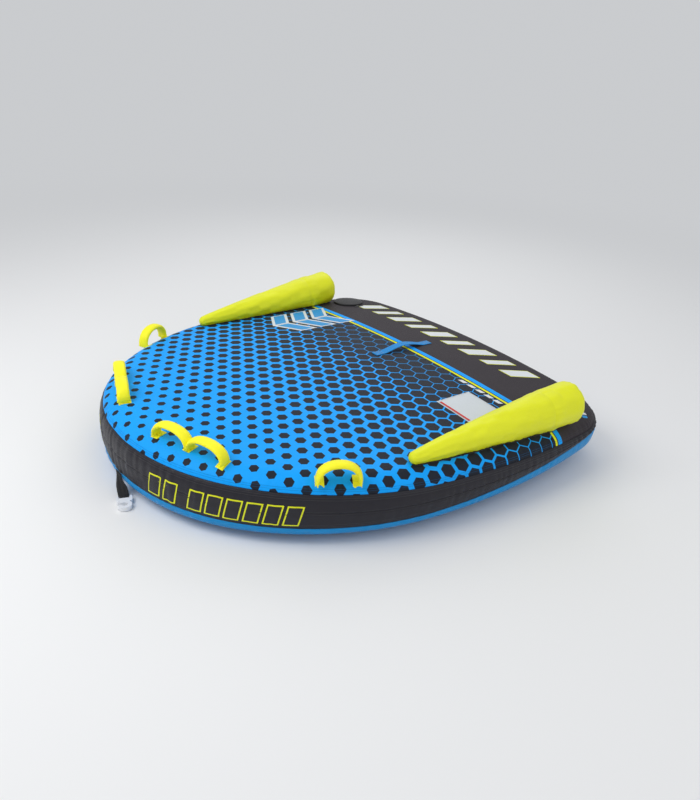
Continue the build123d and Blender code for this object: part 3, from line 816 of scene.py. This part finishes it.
def band_surface(points, shares):
    def place(run, share, lift):
        column = run % LENGTH / LENGTH * AROUND
        i, k = int(column) % AROUND, (int(column) + 1) % AROUND
        part = column - int(column)
        spot = []
        for axis in range(3):
            here = np.interp(share, shares, points[:, i, axis])
            spot.append(here * (1 - part) + np.interp(share, shares, points[:, k, axis]) * part)
        out = OUT[i] * (1 - part) + OUT[k] * part
        return (spot[0] + out[0] * lift, spot[1] + out[1] * lift, spot[2])
    return place


def make_prints(materials, band):
    inks = (materials[f"{name}_ink"] for name in ("white", "yellow", "blue", "black", "red"))
    white, yellow, blue, black, red = inks
    # nine leaning bars across the stern panel, each with a yellow edge
    edges, bars = [], []
    for i in range(9):
        centre = (0.50 - 0.142 * i, 0.825)
        width = 0.050 if i % 2 else 0.074
        edges.append(sheared(centre, width + 0.010, 0.135, 0.075))
        bars.append(sheared(centre, width, 0.127, 0.071))
    print_shapes("stern_bar_edges", edges, on_deck, 0.0006, yellow)
    print_shapes("stern_bars", bars, on_deck, 0.0011, white)

    # chevrons on the starboard quarter of the deck
    edges, bars = [], []
    for i in range(3):
        for side in (-1, 1):
            centre = (-0.615 + side * 0.075, 0.20 + 0.13 * i)
            edges.append(sheared(centre, 0.170, 0.092, side * 0.052, side * 0.50))
            bars.append(sheared(centre, 0.150, 0.060, side * 0.034, side * 0.50))
    print_shapes("chevron_edges", edges, on_deck, 0.0006, white)
    print_shapes("chevrons", bars, on_deck, 0.0011, blue)

    # small marks beside the plain patch and on the stern corner
    marks = [sheared((0.44 + 0.055 * i, 0.488), 0.038, 0.020, 0.012) for i in range(5)]
    marks.append(sheared((0.906, 0.800), 0.012, 0.035, 0.006))
    print_shapes("small_marks", marks, on_deck, 0.0008, white)
    corner = sheared((0.922, 0.792), 0.012, 0.035, 0.006)
    print_shapes("corner_mark", [corner], on_deck, 0.0008, blue)
    stripe = sheared((0.632, 0.240), 0.180, 0.012, 0.0)
    print_shapes("patch_bar", [stripe], on_deck, 0.0022, red)

    # outlined bars along both bows
    starts = (0.235, 0.315, 0.43, 0.505, 0.58, 0.655, 0.73, 0.805)
    for sign, name in ((PORT, "port"), (STARBOARD, "starboard")):
        edges, bars = [], []
        for start in starts:
            edges.append([(sign * x, y) for x, y in sheared((start + 0.03, 0.60), 0.062, 0.60, -0.022)])
            bars.append([(sign * x, y) for x, y in sheared((start + 0.03, 0.60), 0.050, 0.52, -0.019)])
        print_shapes(f"{name}_bow_bar_edges", edges, band, 0.0008, yellow)
        print_shapes(f"{name}_bow_bars", bars, band, 0.0015, black)


# ---------------------------------------------------------------- webbing, strap, flap and patch
def ribbon(name, centre, half, thick, material):
    """Woven strap along centre points, flat across X, with rounded edges."""
    across = np.broadcast_to(np.array((1.0, 0.0, 0.0)), centre.shape)
    normal = unit(np.cross(unit(np.gradient(centre, axis=0)), across))
    outline = [(u, 1) for u in np.linspace(-1, 1, 9)] + [(u, -1) for u in np.linspace(1, -1, 9)]
    columns = []
    for u, side in outline:
        edge = 0.55 + 0.45 * math.sqrt(max(0.0, 1 - abs(u) ** 6))
        columns.append(centre + across * (u * half) + normal * (side * thick / 2 * edge))
    piece = grid(name, np.stack(columns, 1), material, caps=(True, True))
    face_outward(piece)
    return piece


def make_boarding_strap(materials):
    low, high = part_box("boarding_strap")
    half = (high.x - low.x) / 2
    tab, rise, thick = 0.055, 0.022, 0.0032
    y = np.linspace(low.y, high.y, 70)
    middle, reach = (low.y + high.y) / 2, (high.y - low.y) / 2 - tab
    share = np.clip(np.abs(y - middle) / reach, 0, 1)
    lift = rise * np.cos(share * np.pi / 2) ** 1.3
    centre = np.stack([np.zeros_like(y), y, deck_z(np.zeros_like(y), y) + 0.0024 + lift], 1)
    strap = ribbon("boarding_strap_webbing", centre, half, thick, materials["blue_webbing"])
    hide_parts("boarding_strap")
    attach(strap, "tube")
    # box stitching with a cross on both sewn tabs
    lines = []
    for end in (low.y + tab / 2, high.y - tab / 2):
        a, b = half * 0.72, tab * 0.36
        corners = [(-a, end - b), (a, end - b), (a, end + b), (-a, end + b)]
        lines += [(corners[k], corners[(k + 1) % 4]) for k in range(4)]
        lines += [(corners[0], corners[2]), (corners[1], corners[3])]
    stitch_rows("boarding_strap_stitches", lines, 0.0043, materials["thread"])


def stitch_rows(name, lines, height, material):
    """Rows of short raised stitches along straight lines, at that height above the deck."""
    pitch, length, thick = 0.0042, 0.0030, 0.0006
    verts, faces = [], []
    for (x0, y0), (x1, y1) in lines:
        run = math.hypot(x1 - x0, y1 - y0)
        ux, uy = (x1 - x0) / run, (y1 - y0) / run
        for i in range(int(run / pitch)):
            s = (i + 0.5) * pitch
            start = len(verts)
            for along, lift in ((-0.5, 0.0), (-0.25, 1.0), (0.25, 1.0), (0.5, 0.0)):
                for side in (-1, 1):
                    x = x0 + ux * (s + along * length) - uy * side * thick
                    y = y0 + uy * (s + along * length) + ux * side * thick
                    verts.append((x, y, on_deck(x, y, height)[2] + lift * thick))
            faces += [(start + k, start + k + 1, start + k + 3, start + k + 2) for k in (0, 2, 4)]
    piece = link(name, verts, faces, material)
    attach(piece, "tube")


def make_tow_webbing(materials):
    root = Vector(JOINTS["tow_strap_lift"]["pos_m"])
    bar = Vector(JOINTS["tow_hook_swing"]["pos_m"])
    wide = Vector(JOINTS["tow_hook_swing"]["axis"])
    run = (bar - root).normalized()
    turns, widths = [], []
    share = np.linspace(0, 1, 26)
    start_wide = Vector((1, 0, 0))
    for s in share:
        ease = s * s * (3 - 2 * s)
        turns.append((root + run * 0.004).lerp(bar - run * 0.006, s))
        widths.append(start_wide.lerp(wide, ease).normalized())
    centre = np.array([tuple(p) for p in turns])
    across = np.array([tuple(w) for w in widths])
    normal = unit(np.cross(np.broadcast_to(np.array(run), centre.shape), across))
    half = (0.025 - 0.004 * share)[:, None]
    gather = 0.0015 * np.sin(share * np.pi)[:, None]
    columns = []
    loop = [(u, 1) for u in np.linspace(-1, 1, 13)] + [(u, -1) for u in np.linspace(1, -1, 13)]
    for u, side in loop:
        thin = 0.0023 * (0.5 + 0.5 * math.sqrt(max(0.0, 1 - abs(u) ** 6)))
        fold = gather * math.sin(2.6 * u * math.pi)
        columns.append(centre + across * half * u + normal * (side * thin + fold))
    piece = grid("tow_webbing", np.stack(columns, 1), materials["webbing"], caps=(True, True))
    # sewn loop round the hook's bar
    loop_radius, bore = 0.0083, 0.0056
    wide_n = np.array(wide.normalized())
    first = np.array(-run - wide * -run.dot(wide))
    first /= np.linalg.norm(first)
    second = np.cross(wide_n, first)
    rings = []
    for radius, end in ((bore, -1), (loop_radius - 0.0006, -1), (loop_radius, -0.92), (loop_radius, 0.92),
                        (loop_radius - 0.0006, 1), (bore, 1), (bore, -1)):
        angle = np.linspace(0, 2 * np.pi, 28, endpoint=False)
        ring = (np.array(bar)[None] + np.cos(angle)[:, None] * first * radius
                + np.sin(angle)[:, None] * second * radius + wide_n[None] * end * 0.019)
        rings.append(ring)
    sleeve = grid("tow_webbing_loop", np.array(rings), materials["webbing"])
    for made in (piece, sleeve):
        face_outward(made, join_closer=1e-6)
        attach(made, "tow_strap")
    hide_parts("tow_strap")


def make_valve_flap(materials):
    """Domed cloth flap with a corded rim, centred over the valve."""
    up = Vector(JOINTS["valve_cap_turn"]["axis"])
    centre = Vector(JOINTS["valve_cap_turn"]["pos_m"])
    across = Vector(JOINTS["valve_flap_open"]["axis"])
    side = across.cross(up)
    low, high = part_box("valve_flap")
    radius = (high.y - low.y) / 2
    base = centre - up * 0.008
    rise = 0.0125
    angles = np.linspace(0, 2 * np.pi, 96, endpoint=False)
    gather = puckers(91, angles, 2 * np.pi, 0.16)
    rows = []
    for share in np.linspace(0.03, 1, 30):
        tall = rise * (1 - share ** 2.2) + 0.0048
        rim = 0.0026 * bell(share, 0.955, 0.03) - 0.0040 * max(0.0, share - 0.97) / 0.03
        fold = 0.0016 * gather * bell(share, 0.86, 0.09)
        lift = tall + rim + fold
        reach = radius * share
        rows.append(np.array(base)[None] + (reach * np.cos(angles))[:, None] * np.array(side)[None]
                    + (reach * np.sin(angles))[:, None] * np.array(across)[None]
                    + lift[:, None] * np.array(up)[None])
    piece = grid("valve_flap_cloth", np.array(rows), materials["flap"], caps=(True, False))
    thicken(piece, 0.0018)
    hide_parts("valve_flap")
    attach(piece, "valve_flap")


def make_plain_patch(materials):
    low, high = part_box("plain_patch")
    edge = 0.006
    corners = [(low.x + edge, low.y + edge), (high.x - edge, low.y + edge), (high.x - edge, high.y - edge),
               (low.x + edge, high.y - edge)]
    lines = [(corners[k], corners[(k + 1) % 4]) for k in range(4)]
    stitch_rows("plain_patch_stitches", lines, 0.0014, materials["thread"])


# ---------------------------------------------------------------- floor and light
SKY = (0.95, 0.97, 1.0, 1)
SKY_LEVEL = 0.62


def make_stage():
    size = 90.0
    corners = [(-size, -size, 0), (size, -size, 0), (size, size, 0), (-size, size, 0)]
    floor = link("floor", corners, [(0, 1, 2, 3)], None, smooth=False)
    floor.location.z = -0.0005
    # the floor glows like the sky from a few metres out, so no horizon shows
    shade = Shade("floor_paint")
    shade.shader.inputs["Roughness"].default_value = 0.9
    shade.shader.inputs["Base Color"].default_value = (0.84, 0.84, 0.84, 1)
    spot = shade.node("ShaderNodeNewGeometry")
    away = shade.node("ShaderNodeVectorMath", operation="LENGTH")
    shade.join(spot.outputs["Position"], away.inputs[0])
    ramp = shade.node("ShaderNodeMapRange")
    for socket, value in (("From Min", 2.0), ("From Max", 7.0), ("To Min", 0.0), ("To Max", 1.0)):
        ramp.inputs[socket].default_value = value
    ramp.interpolation_type = "SMOOTHSTEP"
    shade.join(away.outputs["Value"], ramp.inputs["Value"])
    glow = shade.node("ShaderNodeEmission")
    glow.inputs["Color"].default_value = SKY
    glow.inputs["Strength"].default_value = SKY_LEVEL
    blend = shade.node("ShaderNodeMixShader")
    shade.join(ramp.outputs["Result"], blend.inputs[0])
    shade.join(shade.shader.outputs[0], blend.inputs[1])
    shade.join(glow.outputs[0], blend.inputs[2])
    output = next(node for node in shade.material.node_tree.nodes if node.type == "OUTPUT_MATERIAL")
    shade.join(blend.outputs[0], output.inputs["Surface"])
    floor.data.materials.append(shade.material)
    world = bpy.data.worlds.new("studio")
    world.use_nodes = True
    background = world.node_tree.nodes["Background"]
    background.inputs[0].default_value = SKY
    background.inputs[1].default_value = SKY_LEVEL
    bpy.context.scene.world = world
    for name, at, width, power in (("key", (-0.4, -2.8, 3.4), 2.4, 74), ("fill", (3.6, 0.8, 2.8), 3.0, 20),
                                   ("back", (-2.4, 2.6, 3.2), 3.0, 30)):
        data = bpy.data.lights.new(name, "AREA")
        data.size, data.energy = width, power
        lamp = bpy.data.objects.new(name, data)
        bpy.context.collection.objects.link(lamp)
        lamp.location = at
        lamp.rotation_euler = (Vector((0, 0, 0.1)) - Vector(at)).to_track_quat("-Z", "Y").to_euler()
    bpy.context.scene.view_settings.view_transform = "Standard"


# ---------------------------------------------------------------- carried-over CAD nodes
def paint_nodes(finishes):
    for node, shape in frame["nodes"].items():
        for words, material in finishes:
            if any(word in node for word in words):
                shape.data.materials.clear()
                shape.data.materials.append(material)
                break


def main():
    make_camera()
    make_stage()
    materials = {
        "deck_cover": deck_print(),
        "stern_panel": stern_print(),
        "side_band": band_print(),
        "bottom_cover": plain("bottom_nylon", (0.0, 0.24, 0.58), 0.42, spots=0.1),
        "bolster": plain("bolster_nylon", YELLOW, 0.42, spots=0.06),
        "handle": plain("handle_nylon", GRIP_YELLOW, 0.5, spots=0.06),
    }
    for name, colour in (("white", (0.72, 0.75, 0.78)), ("yellow", YELLOW), ("blue", (0.01, 0.30, 0.70)),
                         ("black", BLACK), ("red", (0.62, 0.02, 0.01))):
        materials[f"{name}_ink"] = plain(f"{name}_ink", colour, 0.42, spots=0.05)
    # black material of the strips of painted shadow along the bolsters' foot
    materials["hem"] = plain("painted_shadow_black", BLACK, 0.5, weave=0.002, weave_depth=0.6)
    band = make_hull(materials)
    make_prints(materials, band)
    materials["thread"] = plain("thread", (0.30, 0.32, 0.34), 0.6, weave=0, weave_depth=0.2)
    materials["webbing"] = plain("black_webbing", (0.012, 0.012, 0.014), 0.55, weave=0.002, weave_depth=0.8)
    materials["blue_webbing"] = plain("blue_webbing", (0.0, 0.25, 0.66), 0.5, weave=0.002, weave_depth=0.8)
    materials["flap"] = plain("flap_fabric", (0.014, 0.014, 0.016), 0.5)
    make_boarding_strap(materials)
    make_tow_webbing(materials)
    make_valve_flap(materials)
    make_plain_patch(materials)
    make_bolsters(materials)
    make_handles(materials)
    plastic = plain("black_plastic", (0.02, 0.02, 0.022), 0.35, weave=0, weave_depth=0.1, spots=0.05)
    paint_nodes((
        (("tow_hook",),
         plain("white_plastic", (0.80, 0.82, 0.86), 0.34, weave=0, weave_depth=0.12, spots=0.04)),
        (("plain_patch",), plain("patch_vinyl", PALE, 0.45, spots=0.05)),
        (("valve_flap", "tow_patch"), materials["flap"]),
        (("handle_anchors",), plain("yellow_webbing", GRIP_YELLOW, 0.5, weave=0.002, weave_depth=0.8)),
        (("zipper_slider", "zipper_pull"),
         plain("black_metal", (0.03, 0.03, 0.033), 0.3, weave=0, weave_depth=0.05)),
        (("spring",), plain("spring_wire", (0.5, 0.5, 0.5), 0.3, weave=0, weave_depth=0.02)),
        (("bladder",), plain("bladder_vinyl", (0.25, 0.27, 0.30), 0.4, weave=0, weave_depth=0.1)),
        (("tow_tab",), materials["webbing"]),
        (("valve", "zipper"), plastic),
    ))


main()
